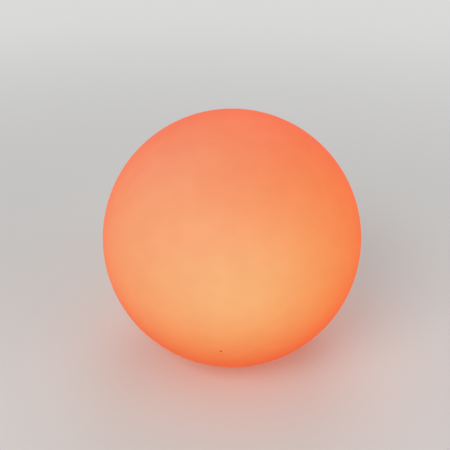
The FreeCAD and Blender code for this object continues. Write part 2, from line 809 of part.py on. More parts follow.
def charging_socket():
    """The upright charging socket: an oval metal shell with a tongue, open towards the port."""
    mouth = port_floor_z + socket_sink
    shell = round_block(socket_length, socket_width, socket_width / 2 - 0.1, mouth, board_z, 0, port_y)
    hollow = round_block(socket_length - 2 * socket_wall, socket_width - 2 * socket_wall,
                         socket_width / 2 - socket_wall - 0.1, mouth - 1, board_z - 1.5, 0, port_y)
    tongue = block(socket_length - 2.2, socket_tongue, mouth + 0.8, board_z - 1, 0, port_y)
    return shell.cut(hollow).fuse(tongue)


def tact_switch():
    """The small switch that the button's stem presses."""
    body_bottom = board_z - tact_height
    body = block(tact_size, tact_size, body_bottom, board_z, 0, button_y)
    plunger = disc(tact_plunger_radius, body_bottom - tact_plunger_height, body_bottom + 0.5, 0, button_y)
    return body.fuse(plunger)


def charge_light_pipe():
    """The clear rod that brings the charge light down to the cover's face."""
    light_height = 1.2
    top = board_z - light_height - slip_gap
    rod = disc(light_pipe_radius, cover_bottom_z, top, light_x, light_y)
    collar = disc(light_pipe_flange, cover_top_z, cover_top_z + light_pipe_flange_height, light_x, light_y)
    return rod.fuse(collar)


def board_chips():
    """Flat packages on the control board, and the charge light under it."""
    top = board_top_z
    return [
        block(9.0, 7.0, top, top + 1.4, -5.0, 12.0),
        block(5.0, 6.0, top, top + 1.5, 6.0, 5.0),
        block(5.0, 5.0, top, top + 0.9, -6.0, 0.0),
        block(3.0, 1.6, board_z - 1.2, board_z, light_x, light_y),
    ]


def power_coil():
    """The shielded coil of the charging circuit."""
    body = round_block(8.0, 8.0, 1.5, board_top_z, board_top_z + 4.0, -5.5, -12.0)
    return body.fuse(disc(3.1, board_top_z + 3.5, board_top_z + 4.3, -5.5, -12.0))


def board_capacitors():
    """Two upright capacitors."""
    return [disc(2.6, board_top_z, board_top_z + 6.0, 5.0 + 1.5 * i, -8.0 - 7.0 * i) for i in range(2)]


def lead_terminals():
    """The terminals that the leads plug into: two on the control board and one on the lamp board."""
    bottom, top = board_top_z, board_top_z + terminal_height
    lamp_end = block(terminal_depth, terminal_width, led_board_top_z, led_board_top_z + terminal_height,
                     lead_end_circle() - terminal_depth / 2)
    return [
        block(terminal_depth, terminal_width, bottom, top, (board_width - terminal_depth) / 2, lead_y),
        block(terminal_width, terminal_depth, bottom, top, 0, (terminal_depth - board_length) / 2),
        turned(lamp_end, lead_angle),
    ]


def lead_end_circle():
    """How far from the middle the lamp lead ends, over the lamp board."""
    return lead_circle - lead_bend - lead_end_run


# ---- cells and cradle ----------------------------------------------------------------------------


def cell(side):
    """A round cell lying along Y: can, crimp groove and raised end."""
    half = cell_length / 2
    crimp = half - cell_crimp_inset
    waist = cell_radius - cell_crimp_depth
    can_end = half - cell_button_height
    outline = [(0, -half), (cell_radius, -half), (cell_radius, crimp - 0.6), (waist, crimp - 0.3),
               (waist, crimp + 0.3), (cell_radius, crimp + 0.6), (cell_radius, can_end),
               (cell_button_radius, can_end), (cell_button_radius, half), (0, half)]
    body = spun_polygon(outline)
    body.rotate(Vector(0, 0, 0), Vector(1, 0, 0), -90)
    return moved(body, side * cell_x, 0, cell_z)


def battery_cradle():
    """The tray under the housing's top: a floor, saddles with round seats, end walls and screw pads."""
    floor_z = cradle_top_z - cradle_floor
    end_y = cell_length / 2 + end_wall_gap
    length = 2 * (end_y + end_wall)
    body = block(2 * cradle_half_width, length, floor_z, cradle_top_z)
    for y in (-saddle_y, saddle_y):
        body = body.fuse(block(2 * cradle_half_width, saddle_thickness, cell_z, cradle_top_z, 0, y))
    for side in (-1, 1):
        y = side * (end_y + end_wall / 2)
        wall_bottom = cell_z - cell_radius / 2
        body = body.fuse(block(2 * cradle_half_width, end_wall, wall_bottom, cradle_top_z, 0, y))
        ear = block(strap_ear, strap_width, cell_z, cradle_top_z, side * strap_ear_x(), 0)
        body = body.fuse(ear)
    for side in (-1, 1):
        body = body.cut(rod_along_y(cell_radius + cell_gap, 2 * end_y, side * cell_x, cell_z))
        body = body.cut(disc(screw_radius + screw_hole_gap, cell_z - 1, cell_z + strap_screw_length,
                             side * strap_ear_x(), 0))
    body = body.common(disc(cradle_clear_radius, 0, cradle_top_z))
    body = body.cut(disc(grommet_room, cell_z, cradle_top_z + 1, lead_x, lead_y))
    for x, y, _ in cradle_screw_places():
        body = body.cut(disc(screw_radius + slip_gap, floor_z - 1, cradle_top_z + 1, x, y))
    return body.removeSplitter()


def strap_ear_x():
    """Where the strap's ears and their screws lie, either side of the cells."""
    return cell_x + cell_radius + cell_gap + strap_thickness + strap_ear / 2 - 1.0


def battery_strap():
    """The clip under the cells: it follows their round undersides and screws up into the cradle's ears."""
    inner = cell_radius + cell_gap
    outer = inner + strap_thickness
    bottom = cell_z - outer
    shells = [rod_along_y(outer, strap_width, side * cell_x, cell_z) for side in (-1, 1)]
    body = fused(shells + [block(cell_spacing, strap_width, bottom, cell_z - strap_valley)])
    body = body.common(block(2 * (cell_x + outer), strap_width, bottom, cell_z))
    body = body.cut(block(cell_x, strap_width, cell_z - strap_valley, cell_z))
    ears = [block(strap_ear, strap_width, cell_z - strap_ear_thickness, cell_z, side * strap_ear_x())
            for side in (-1, 1)]
    body = fused([body] + ears)
    for side in (-1, 1):
        body = body.cut(rod_along_y(inner, strap_width, side * cell_x, cell_z))
        body = body.cut(disc(screw_radius + slip_gap, bottom, cell_z + 1, side * strap_ear_x()))
    return body


def strap_screws():
    """The screws that draw the strap up against the cradle's ears."""
    return [screw(strap_screw_length - 1, side * strap_ear_x(), 0, cell_z - strap_ear_thickness)
            for side in (-1, 1)]


def cradle_screws():
    """The screws that hold the cradle to the housing's top."""
    floor_z = cradle_top_z - cradle_floor
    return [screw(cradle_floor + cradle_screw_bite, x, y, floor_z) for x, y, _ in cradle_screw_places()]


def cell_tabs():
    """The metal strips that join the cells' ends."""
    half = cell_length / 2
    length = cell_spacing + 2 * tab_overhang
    strips = []
    for side in (-1, 1):
        y = side * (half + tab_thickness / 2)
        strips.append(block(length, tab_thickness, cell_z - tab_width / 2, cell_z + tab_width / 2, 0, y))
    return strips


# ---- lamp board and dome -------------------------------------------------------------------------


def led_board():
    """The metal-backed lamp board, cut away where the lead comes up."""
    body = disc(led_board_radius, led_board_z, led_board_top_z)
    for x, y, _ in places(led_post_count, led_post_circle):
        body = body.cut(disc(screw_radius + slip_gap, led_board_z - 1, led_board_top_z + 1, x, y))
    return body.cut(disc(grommet_room, led_board_z - 1, led_board_top_z + 1, lead_x, lead_y))


def led_packages():
    """Square light packages, an outer and an inner ring, each with a shallow round window."""
    top = led_board_top_z + led_height
    packages = []
    outer_first = 180.0 / outer_led_count
    for count, circle, first in ((outer_led_count, outer_led_circle, outer_first),
                                 (inner_led_count, inner_led_circle, 0.0)):
        for _, _, degrees in places(count, circle, first):
            body = block(led_size, led_size, led_board_top_z, top, circle)
            body = body.cut(disc(led_window_radius, top - led_window_depth, top + 1, circle))
            packages.append(turned(body, degrees))
    return packages


def led_board_screws():
    """The screws through the lamp board into the housing's posts."""
    return [screw(led_screw_length, x, y, led_board_top_z, down=True)
            for x, y, _ in places(led_post_count, led_post_circle)]


def remote_receiver():
    """The receiver for the hand-held remote, in the middle of the lamp board."""
    body = block(receiver_width, receiver_depth, led_board_top_z, led_board_top_z + receiver_height)
    lens_centre = Vector(0, -receiver_depth / 2, led_board_top_z + receiver_height / 2)
    lens = Part.makeSphere(receiver_lens_radius, lens_centre)
    return body.fuse(lens)


def dome_curve(inset):
    """The dome's crown and shoulder: two arcs that run into each other, with their two ends."""
    wall_top = dome_flange_z + dome_wall_height
    shoulder = (dome_radius - dome_shoulder_radius, wall_top)
    spare = dome_crown_height - dome_shoulder_radius
    crown_radius = (shoulder[0] ** 2 + dome_crown_height**2 - dome_shoulder_radius**2) / (2 * spare)
    centre = (0.0, wall_top + dome_crown_height - crown_radius)
    lean = math.degrees(math.atan2(shoulder[1] - centre[1], shoulder[0]))
    top = on_circle(centre, crown_radius - inset, 90)
    join = on_circle(centre, crown_radius - inset, lean)
    foot = on_circle(shoulder, dome_shoulder_radius - inset, 0)
    crown = arc(top, on_circle(centre, crown_radius - inset, (90 + lean) / 2), join)
    return crown, arc(join, on_circle(shoulder, dome_shoulder_radius - inset, lean / 2), foot), top, foot


def led_dome():
    """The frosted dome over the lamp board: a holed flange, a short wall and a low round crown."""
    flange_top = dome_flange_z + dome_flange_thickness
    outer_crown, outer_shoulder, outer_top, outer_foot = dome_curve(0)
    inner_crown, inner_shoulder, inner_top, inner_foot = dome_curve(dome_wall)
    edges = [
        outer_crown, outer_shoulder,
        *polyline([outer_foot, (dome_radius, flange_top), (dome_flange_radius, flange_top),
                   (dome_flange_radius, dome_flange_z), (dome_bore_radius, dome_flange_z), inner_foot]),
        inner_shoulder, inner_crown,
        *polyline([inner_top, outer_top]),
    ]
    body = spun(edges)
    for x, y, _ in places(dome_screw_count, dome_screw_circle, dome_screw_angle):
        body = body.cut(disc(screw_radius + slip_gap, dome_flange_z - 1, flange_top + 1, x, y))
    return body


def dome_gasket():
    """The flat rubber ring under the dome's flange."""
    body = ring(dome_bore_radius, spigot_radius - housing_shoulder_radius, housing_top_z, dome_flange_z)
    for x, y, _ in places(dome_screw_count, dome_screw_circle, dome_screw_angle):
        body = body.cut(disc(screw_radius + slip_gap, housing_top_z - 1, dome_flange_z + 1, x, y))
    return body


def dome_screws():
    """The screws through the dome's flange."""
    return [screw(dome_screw_length - 1, x, y, dome_flange_z + dome_flange_thickness, down=True)
            for x, y, _ in places(dome_screw_count, dome_screw_circle, dome_screw_angle)]


# ---- leads ---------------------------------------------------------------------------------------


def lead_grommet():
    """The rubber bush where the lamp lead passes the housing's top."""
    tube_radius = lead_radius + grommet_wall
    lip_edge = tube_radius + grommet_lip
    tube = disc(tube_radius, cradle_top_z, housing_top_z, lead_x, lead_y)
    upper = disc(lip_edge, housing_top_z, housing_top_z + grommet_lip, lead_x, lead_y)
    lower = disc(lip_edge, cradle_top_z - grommet_lip, cradle_top_z, lead_x, lead_y)
    return fused([tube, upper, lower]).cut(disc(lead_radius, 0, led_board_top_z, lead_x, lead_y))


def lamp_lead():
    """The lead from the control board's terminal up through the grommet to the lamp board."""
    start_z = board_top_z + terminal_height / 2
    top_z = led_board_top_z + terminal_height / 2
    end = lead_end_circle() / lead_circle
    points = [(board_width / 2, lead_y, start_z), (lead_x, lead_y, start_z), (lead_x, lead_y, top_z),
              (lead_x * end, lead_y * end, top_z)]
    return bent_tube(points, [lead_bend, lead_bend], lead_radius)


def battery_lead():
    """The lead from the strip that joins the cells down to the control board's other terminal."""
    start_z = board_top_z + terminal_height / 2
    tab_y = -(cell_length / 2 + tab_thickness + battery_lead_radius)
    points = [(0, -board_length / 2, start_z), (0, tab_y, start_z), (0, tab_y, cell_z)]
    return bent_tube(points, [battery_lead_bend], battery_lead_radius)


# ---- write the pieces ----------------------------------------------------------------------------

PIECES = {
    "globe_shell": globe_shell,
    "neck_ring": neck_ring,
    "globe_seal": globe_seal,
    "base_housing": base_housing,
    "foot_ring": foot_ring,
    "bottom_cover": bottom_cover,
    "cover_gasket": cover_gasket,
    "cover_screws": cover_screws,
    "power_button": power_button,
    "button_seal": button_seal,
    "button_clip": button_clip,
    "button_spring": button_spring,
    "port_flap": port_flap,
    "control_board": control_board,
    "board_screws": board_screws,
    "charging_socket": charging_socket,
    "tact_switch": tact_switch,
    "charge_light_pipe": charge_light_pipe,
    "board_chips": board_chips,
    "power_coil": power_coil,
    "board_capacitors": board_capacitors,
    "lead_terminals": lead_terminals,
    "battery_cradle": battery_cradle,
    "battery_cell_left": lambda: cell(-1),
    "battery_cell_right": lambda: cell(1),
    "cell_tabs": cell_tabs,
    "battery_strap": battery_strap,
    "strap_screws": strap_screws,
    "cradle_screws": cradle_screws,
    "led_board": led_board,
    "led_packages": led_packages,
    "led_board_screws": led_board_screws,
    "remote_receiver": remote_receiver,
    "led_dome": led_dome,
    "dome_gasket": dome_gasket,
    "dome_screws": dome_screws,
    "lead_grommet": lead_grommet,
    "lamp_lead": lamp_lead,
    "battery_lead": battery_lead,
}


def main():
    """Builds each piece and writes it as one STEP file."""
    os.makedirs("parts", exist_ok=True)
    for name, make in PIECES.items():
        made = make()
        shape = Part.makeCompound(made) if isinstance(made, list) else made
        shape.exportStep(os.path.join("parts", name + ".step"))
        state = "ok" if shape.isValid() else "NOT VALID"
        print(f"{name}: {len(shape.Solids)} solid(s), {shape.Volume:.1f} mm3, {state}")


main()
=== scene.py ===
import math

import bpy
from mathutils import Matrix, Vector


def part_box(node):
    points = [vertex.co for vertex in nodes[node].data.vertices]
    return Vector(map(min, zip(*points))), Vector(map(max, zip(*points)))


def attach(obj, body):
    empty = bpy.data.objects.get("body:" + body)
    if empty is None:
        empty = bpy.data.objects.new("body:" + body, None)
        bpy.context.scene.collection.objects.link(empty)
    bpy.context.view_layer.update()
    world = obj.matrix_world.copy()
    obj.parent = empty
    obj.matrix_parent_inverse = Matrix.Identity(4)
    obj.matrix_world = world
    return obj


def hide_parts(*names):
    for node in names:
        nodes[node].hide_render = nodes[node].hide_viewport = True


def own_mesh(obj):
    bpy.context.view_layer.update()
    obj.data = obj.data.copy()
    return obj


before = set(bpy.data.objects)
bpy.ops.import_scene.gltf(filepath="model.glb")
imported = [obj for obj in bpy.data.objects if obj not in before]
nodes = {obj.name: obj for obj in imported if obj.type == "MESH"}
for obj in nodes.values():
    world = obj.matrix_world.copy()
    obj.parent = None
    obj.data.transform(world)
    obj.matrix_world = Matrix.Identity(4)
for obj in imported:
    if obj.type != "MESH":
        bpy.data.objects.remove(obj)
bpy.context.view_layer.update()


# ---- base housing --------------------------------------------------------------------------------
# The cup that carries everything: one dark moulding in ABS with lugs and stops outside, screw bosses
# and ribs inside. Its tool was spark eroded, so every face has a fine even grain.

FACTOR, FIRST, SECOND, MIXED = 0, 6, 7, 2  # sockets of a Mix node that is set to colours


class Wire:
    """One output of a shader node. Sums of wires add Math nodes."""

    def __init__(self, tree, socket=None):
        self.tree = tree
        self.socket = socket

    def node(self, kind, settings=(), values=(), out=0):
        """Adds a node: first its settings, then the values or wires of its sockets."""
        made = self.tree.nodes.new(kind)
        for name, value in dict(settings).items():
            if name == "stops":
                ramp = made.color_ramp
                ramp.interpolation = "B_SPLINE"
                while len(ramp.elements) < len(value):
                    ramp.elements.new(0.5)
                for element, (place, colour) in zip(ramp.elements, value):
                    element.position = place
                    element.color = (*colour, 1.0)
            else:
                setattr(made, name, value)
        for name, value in dict(values).items():
            if isinstance(value, Wire):
                self.tree.links.new(value.socket, made.inputs[name])
            else:
                made.inputs[name].default_value = value
        return Wire(self.tree, made.outputs[out])

    def maths(self, operation, *terms):
        """A Math node on wires and numbers."""
        return self.node("ShaderNodeMath", {"operation": operation}, enumerate(terms))

    def __add__(self, other):
        return self.maths("ADD", self, other)

    def __radd__(self, other):
        return self.maths("ADD", other, self)

    def __sub__(self, other):
        return self.maths("SUBTRACT", self, other)

    def __rsub__(self, other):
        return self.maths("SUBTRACT", other, self)

    def __mul__(self, other):
        return self.maths("MULTIPLY", self, other)

    def __rmul__(self, other):
        return self.maths("MULTIPLY", other, self)

    def __gt__(self, other):
        return self.maths("GREATER_THAN", self, other)

    def __lt__(self, other):
        return self.maths("LESS_THAN", self, other)

    def __abs__(self):
        return self.maths("ABSOLUTE", self)

    def place(self):
        """Where a point is on the object, in metres."""
        return self.node("ShaderNodeTexCoord", out="Object")

    def rise(self):
        """How far the surface faces up: 1 straight up, -1 straight down."""
        return self.node("ShaderNodeNewGeometry", out="Normal").axis("Z")

    def axis(self, name):
        """One of X, Y and Z of a place or a direction."""
        return self.node("ShaderNodeSeparateXYZ", (), {0: self}, out=name)

    def noise(self, size, detail=2.0, roughness=0.5, where=None):
        """Even noise from 0 to 1, whose lumps are about this size in metres."""
        return self.node("ShaderNodeTexNoise", (), {"Vector": where or self.place(), "Scale": 1.0 / size,
                                                    "Detail": detail, "Roughness": roughness})

    def between(self, low, high):
        """0 below one value, 1 above the other, and smooth between."""
        return self.node("ShaderNodeMapRange", {"interpolation_type": "SMOOTHSTEP"},
                         {"Value": self, "From Min": low, "From Max": high})

    def about(self, middle, swing):
        """This wire's 0 to 1 as a small swing about a value."""
        return self * swing + (middle - swing / 2)

    def colours(self, first, second):
        """From the first colour to the second as this wire goes from 0 to 1."""
        first = first if isinstance(first, Wire) else (*first, 1.0)
        second = second if isinstance(second, Wire) else (*second, 1.0)
        return self.node("ShaderNodeMix", {"data_type": "RGBA"},
                         {FACTOR: self, FIRST: first, SECOND: second}, out=MIXED)

    def times(self, other):
        """One colour multiplied by another."""
        return self.node("ShaderNodeMix", {"data_type": "RGBA", "blend_type": "MULTIPLY"},
                         {FACTOR: 1.0, FIRST: self, SECOND: other}, out=MIXED)

    def bumps(self, depth):
        """The surface normal with this wire's heights, from 0 to 1, over a depth in metres."""
        return self.node("ShaderNodeBump", (), {"Height": self, "Distance": depth, "Strength": 1.0})


def finish(name, **sockets):
    """A new material, its shader with these sockets set, and a wire to build on."""
    material = bpy.data.materials.new(name)
    material.use_nodes = True
    shader = material.node_tree.nodes["Principled BSDF"]
    for socket, value in sockets.items():
        shader.inputs[socket.replace("_", " ")].default_value = value
    return material, shader, Wire(material.node_tree)


def join(shader, **wires):
    """Puts wires on the shader's sockets."""
    for socket, wire in wires.items():
        wire.tree.links.new(wire.socket, shader.inputs[socket.replace("_", " ")])


def dress(material, *names):
    """Gives CAD nodes this material in their own slots."""
    for name in names:
        slots = nodes[name].data.materials
        for number in range(len(slots)):
            slots[number] = material


def tint(colour, gain, lift=0.0):
    """A colour made lighter or darker."""
    return tuple(min(1.0, part * gain + lift) for part in colour)


FLOW_MARK = 0.03
FLOW_SHARE = 0.6
SCUFF_SPACING = 0.007
SCUFF_WIDTH = 0.008
SCUFF_PATCH = 0.02
SCUFF_LEAN = 0.5
SCUFF_SQUEEZE = 0.07  # draws the scuffs out along one direction
FACES_DOWN = -0.7


def moulded(name, colour, roughness, grain, depth, mottle=0.12, scuffs=0.0):
    """Injection-moulded plastic: an eroded grain of this size and depth, faint flow marks, and hair
    scuffs where it faces the ground."""
    material, shader, start = finish(name, IOR=1.5)
    flow = start.noise(FLOW_MARK, detail=3.0)
    fine = start.noise(grain, detail=3.0, roughness=0.6)
    clouds = flow * FLOW_SHARE + fine * (1 - FLOW_SHARE)
    base = clouds.colours(tint(colour, 1 - mottle), tint(colour, 1 + mottle, lift=0.004))
    rough = fine.about(roughness, swing=0.12)
    if scuffs:
        drawn_out = start.node("ShaderNodeMapping", (), {"Vector": start.place(),
                                                         "Rotation": (0.0, 0.0, SCUFF_LEAN),
                                                         "Scale": (SCUFF_SQUEEZE, 1.0, 1.0)})
        hair = abs(start.noise(SCUFF_SPACING, where=drawn_out) - 0.5) < SCUFF_WIDTH
        patch = start.noise(SCUFF_PATCH).between(0.45, 0.62)
        mark = hair * (start.rise() < FACES_DOWN) * patch * scuffs
        base = mark.colours(base, tint(colour, gain=2.6, lift=0.03))
        rough = rough - mark * 0.12
    join(shader, Base_Color=base, Roughness=rough, Normal=fine.bumps(depth))
    return material


DARK_ABS = (0.052, 0.052, 0.056)
dress(moulded("dark_housing", DARK_ABS, roughness=0.56, grain=0.0005, depth=0.00003), "base_housing")

# ---- foot ring -----------------------------------------------------------------------------------
# The rubber ring that the lamp stands on, moulded and seated in the flange's groove. Matt black, with
# a round of small grip pockets in its tread and a little dust on it.

BLACK_RUBBER = (0.022, 0.022, 0.023)
RUBBER_BLOOM = 0.012
RUBBER_GRAIN = 0.0004
RUBBER_GRAIN_DEPTH = 0.00003
DUST = (0.16, 0.145, 0.125)
DUST_PATCH = 0.009
DUST_HEIGHT = 0.0009


def rubber(name, colour, roughness, dust=0.0):
    """Moulded rubber: close matt grain, cloudy bloom, and dust near the ground."""
    material, shader, start = finish(name, IOR=1.5, Specular_IOR_Level=0.35)
    fine = start.noise(RUBBER_GRAIN)
    bloom = start.noise(RUBBER_BLOOM, detail=4.0, roughness=0.6).between(0.35, 0.75)
    base = bloom.colours(colour, tint(colour, gain=1.35, lift=0.012))
    if dust:
        low = 1.0 - start.place().axis("Z").between(0.0, DUST_HEIGHT)
        patch = start.noise(DUST_PATCH, detail=4.0, roughness=0.6).between(0.3, 0.8)
        base = (low * patch * dust).colours(base, DUST)
    join(shader, Base_Color=base, Roughness=fine.about(roughness, swing=0.14),
         Normal=fine.bumps(RUBBER_GRAIN_DEPTH))
    return material


def only_this(piece):
    """Makes one piece the only one selected."""
    bpy.ops.object.select_all(action="DESELECT")
    bpy.context.view_layer.objects.active = piece
    piece.select_set(True)


def primitive(add, name, scale=(1, 1, 1), **settings):
    """Adds a first shape, and puts its size and place into its mesh."""
    bpy.ops.object.select_all(action="DESELECT")
    add(**settings)
    made = bpy.context.active_object
    made.name = name
    made.scale = scale
    bpy.ops.object.transform_apply(location=True, rotation=True, scale=True)
    return made


def open_whole(piece):
    """Opens a piece for editing, with all of it selected."""
    only_this(piece)
    bpy.ops.object.mode_set(mode="EDIT")
    bpy.ops.mesh.select_all(action="SELECT")


def shut():
    """Ends the editing of a piece."""
    bpy.ops.object.mode_set(mode="OBJECT")


def ready(piece, kind):
    """Readies a piece for picking its corners, edges or faces, with none of them selected."""
    only_this(piece)
    bpy.ops.object.mode_set(mode="EDIT")
    bpy.ops.mesh.select_mode(type=kind)
    bpy.ops.mesh.select_all(action="DESELECT")
    shut()


def pick_corners(piece, test):
    """Opens a piece for editing, with the corners selected whose place passes a test."""
    ready(piece, "VERT")
    for corner in piece.data.vertices:
        corner.select = bool(test(corner.co))
    bpy.ops.object.mode_set(mode="EDIT")


def pick_faces(piece, test):
    """Opens a piece for editing, with the faces selected whose middle and normal pass a test."""
    ready(piece, "FACE")
    for face in piece.data.polygons:
        face.select = bool(test(face.center, face.normal))
    bpy.ops.object.mode_set(mode="EDIT")


FOOT_OUTER, FOOT_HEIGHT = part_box("foot_ring")[1][0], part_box("foot_ring")[1][2]
FOOT_WIDTH = 0.003
FOOT_EDGE = 0.0006
FOOT_STEPS = 150
POCKET_WALL = 0.00035
POCKET_DEPTH = 0.0004
TREAD_DOWN = -0.99
MERGE = 1e-6
SMOOTH_ANGLE = math.radians(35)

foot = primitive(bpy.ops.mesh.primitive_plane_add, "foot_tread", scale=(FOOT_WIDTH, FOOT_HEIGHT, 1),
                 size=1.0, location=(FOOT_OUTER - FOOT_WIDTH / 2, 0, FOOT_HEIGHT / 2),
                 rotation=(math.pi / 2, 0, 0))
open_whole(foot)
bpy.ops.mesh.delete(type="ONLY_FACE")
shut()
pick_corners(foot, lambda place: place.z < FOOT_HEIGHT / 2)
bpy.ops.mesh.bevel(offset=FOOT_EDGE, segments=4, affect="VERTICES")
bpy.ops.mesh.select_all(action="SELECT")
bpy.ops.mesh.spin(steps=FOOT_STEPS, angle=2 * math.pi, center=(0, 0, 0), axis=(0, 0, 1))
bpy.ops.mesh.select_all(action="SELECT")
bpy.ops.mesh.remove_doubles(threshold=MERGE)
bpy.ops.mesh.normals_make_consistent(inside=False)
shut()


def in_tread(middle, normal):
    """Every other face of the tread."""
    turn = (math.atan2(middle.y, middle.x) / (2 * math.pi)) % 1.0
    return normal.z < TREAD_DOWN and int(turn * FOOT_STEPS) % 2 == 0


pick_faces(foot, in_tread)
bpy.ops.mesh.inset(thickness=POCKET_WALL, depth=-POCKET_DEPTH, use_individual=True)
shut()
bpy.ops.object.shade_smooth_by_angle(angle=SMOOTH_ANGLE)
foot.data.materials.append(rubber("foot_rubber", BLACK_RUBBER, roughness=0.8, dust=0.7))
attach(foot, "base")
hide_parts("foot_ring")

# ---- bottom cover --------------------------------------------------------------------------------
# The screwed plate under the base, the same dark moulding as the housing, with two finger wells, the
# button's well and the charging port. A rubber ring seals it, and use has left hair scuffs on it.

dress(moulded("cover_plastic", DARK_ABS, roughness=0.56, grain=0.0005, depth=0.00003, scuffs=0.45),
      "bottom_cover")
black_rubber = rubber("soft_rubber", BLACK_RUBBER, roughness=0.78)
dress(black_rubber, "cover_gasket")

# ---- screws and other plated metal ---------------------------------------------------------------
# Pan-head thread-forming screws and the drawn shell of the charging socket, zinc plated, and the
# nickel-plated strips that are welded to the cells. Cloudy brightness and fine scuffs.

PLATING_CLOUD = 0.004
PLATING_SCUFF = 0.0003
PLATING_DEPTH = 0.00001


def plated(name, colour, roughness):
    """Plated steel: cloudy brightness and fine scuffs."""
    material, shader, start = finish(name, Metallic=1.0)
    cloud = start.noise(PLATING_CLOUD, detail=3.0, roughness=0.6)
    scuff = start.noise(PLATING_SCUFF, detail=4.0, roughness=0.7)
    join(shader, Base_Color=cloud.between(0.3, 0.7).colours(tint(colour, gain=0.78), colour),
         Roughness=cloud * 0.2 + scuff * 0.15 + (roughness - 0.17), Normal=scuff.bumps(PLATING_DEPTH))
    return material


zinc = plated("steel", (0.62, 0.62, 0.64), roughness=0.34)
dress(zinc, "cover_screws", "board_screws", "dome_screws", "led_board_screws", "cradle_screws",
      "strap_screws", "charging_socket")
dress(plated("nickel_strip", (0.66, 0.64, 0.58), roughness=0.28), "cell_tabs")

# ---- push button ---------------------------------------------------------------------------------
# The round button in its well under the base: a glossy moulded head on a stem, sealed by a small
# rubber ring and held by a clip behind the cover. Its coil spring is drawn wire, zinc plated.

dress(moulded("button_plastic", (0.085, 0.085, 0.09), roughness=0.3, grain=0.0006, depth=0.000006,
              mottle=0.08), "power_button", "button_clip")
dress(black_rubber, "button_seal")

COIL_SMOOTH_ANGLE = math.radians(40)

spring = nodes["button_spring"].copy()
spring.data = nodes["button_spring"].data.copy()
spring.name = "pressed_spring"
bpy.context.collection.objects.link(spring)
open_whole(spring)
bpy.ops.mesh.remove_doubles(threshold=MERGE)
shut()
bpy.ops.object.shade_smooth_by_angle(angle=COIL_SMOOTH_ANGLE)
spring.data.materials.clear()
spring.data.materials.append(zinc)
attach(spring, "base")
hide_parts("button_spring")
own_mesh(spring)

# ---- port flap -----------------------------------------------------------------------------------
# The rubber flap over the charging port: a lid with rounded corners, a hollow rim that plugs the port,
# a nail notch at its free end, and a thin neck to the bead that it swings on. One moulding.

FLAP_LOW, FLAP_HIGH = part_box("port_flap")
HINGE_Y, HINGE_Z = 0.0241, 0.00325
BEAD_RADIUS = 0.0011
BEAD_LENGTH = 0.012
BEAD_EDGE = 0.0002
NECK_LENGTH = 0.0018
NECK_THICKNESS = 0.001
NECK_ROOT = 0.0005
LID_BOTTOM, LID_TOP = 0.00245, 0.00405
LID_CORNER = 0.002
LID_EDGE = 0.0003
RIM_LENGTH, RIM_BREADTH = 0.0123, 0.0067
RIM_Y = 0.017
RIM_WALL = 0.0009
RIM_CORNER = 0.00165
RIM_ROOT = 0.0005
NOTCH_RADIUS = 0.003
NOTCH_HEIGHT = 0.002
NOTCH_EDGE = 0.0004
LEVEL = 1e-5  # ends that differ by less than this lie level
FACES_LEVEL = 0.9


def block(name, low, high):
    """A box between two corners, as a piece of its own."""
    return primitive(bpy.ops.mesh.primitive_cube_add, name, scale=[b - a for a, b in zip(low, high)],
                     size=1.0, location=[(a + b) / 2 for a, b in zip(low, high)])


def round_edges(piece, radius, steps, test):
    """Rounds the edges whose two ends pass a test."""
    ready(piece, "EDGE")
    corners = piece.data.vertices
    for edge in piece.data.edges:
        edge.select = bool(test(*(corners[number].co for number in edge.vertices)))
    bpy.ops.object.mode_set(mode="EDIT")
    bpy.ops.mesh.bevel(offset=radius, segments=steps, affect="EDGES")
    shut()


def upright(a, b):
    """An edge that goes from one level to another."""
    return abs(a.z - b.z) > LEVEL


def combine(piece, other, operation):
    """Joins another shape to a piece, or cuts it away, and removes the other."""
    only_this(piece)
    change = piece.modifiers.new("change", "BOOLEAN")
    change.operation = operation
    change.object = other
    change.solver = "EXACT"
    bpy.ops.object.modifier_apply(modifier=change.name)
    bpy.data.objects.remove(other)


neck_start = HINGE_Y - NECK_LENGTH
flap = block("flap", (FLAP_LOW.x, FLAP_LOW.y, LID_BOTTOM), (FLAP_HIGH.x, neck_start, LID_TOP))
round_edges(flap, LID_CORNER, steps=6, test=upright)
round_edges(flap, LID_EDGE, steps=3, test=lambda a, b: max(a.z, b.z) < LID_BOTTOM + LEVEL)

rim = block("flap_rim", (-RIM_LENGTH / 2, RIM_Y - RIM_BREADTH / 2, LID_TOP - RIM_ROOT),
            (RIM_LENGTH / 2, RIM_Y + RIM_BREADTH / 2, FLAP_HIGH.z))
round_edges(rim, RIM_CORNER, steps=6, test=upright)
pick_faces(rim, lambda middle, normal: abs(normal.z) > FACES_LEVEL)
bpy.ops.mesh.inset(thickness=RIM_WALL)
bpy.ops.mesh.bridge_edge_loops()
shut()
combine(flap, rim, "UNION")

neck = block("flap_neck", (-BEAD_LENGTH / 2, neck_start - NECK_ROOT, HINGE_Z - NECK_THICKNESS / 2),
             (BEAD_LENGTH / 2, HINGE_Y, HINGE_Z + NECK_THICKNESS / 2))
combine(flap, neck, "UNION")

bead = primitive(bpy.ops.mesh.primitive_cylinder_add, "flap_bead", vertices=32, radius=BEAD_RADIUS,
                 depth=BEAD_LENGTH, location=(0, HINGE_Y, HINGE_Z), rotation=(0, math.pi / 2, 0))
round_edges(bead, BEAD_EDGE, steps=2, test=lambda a, b: abs(a.x - b.x) < LEVEL)
combine(flap, bead, "UNION")

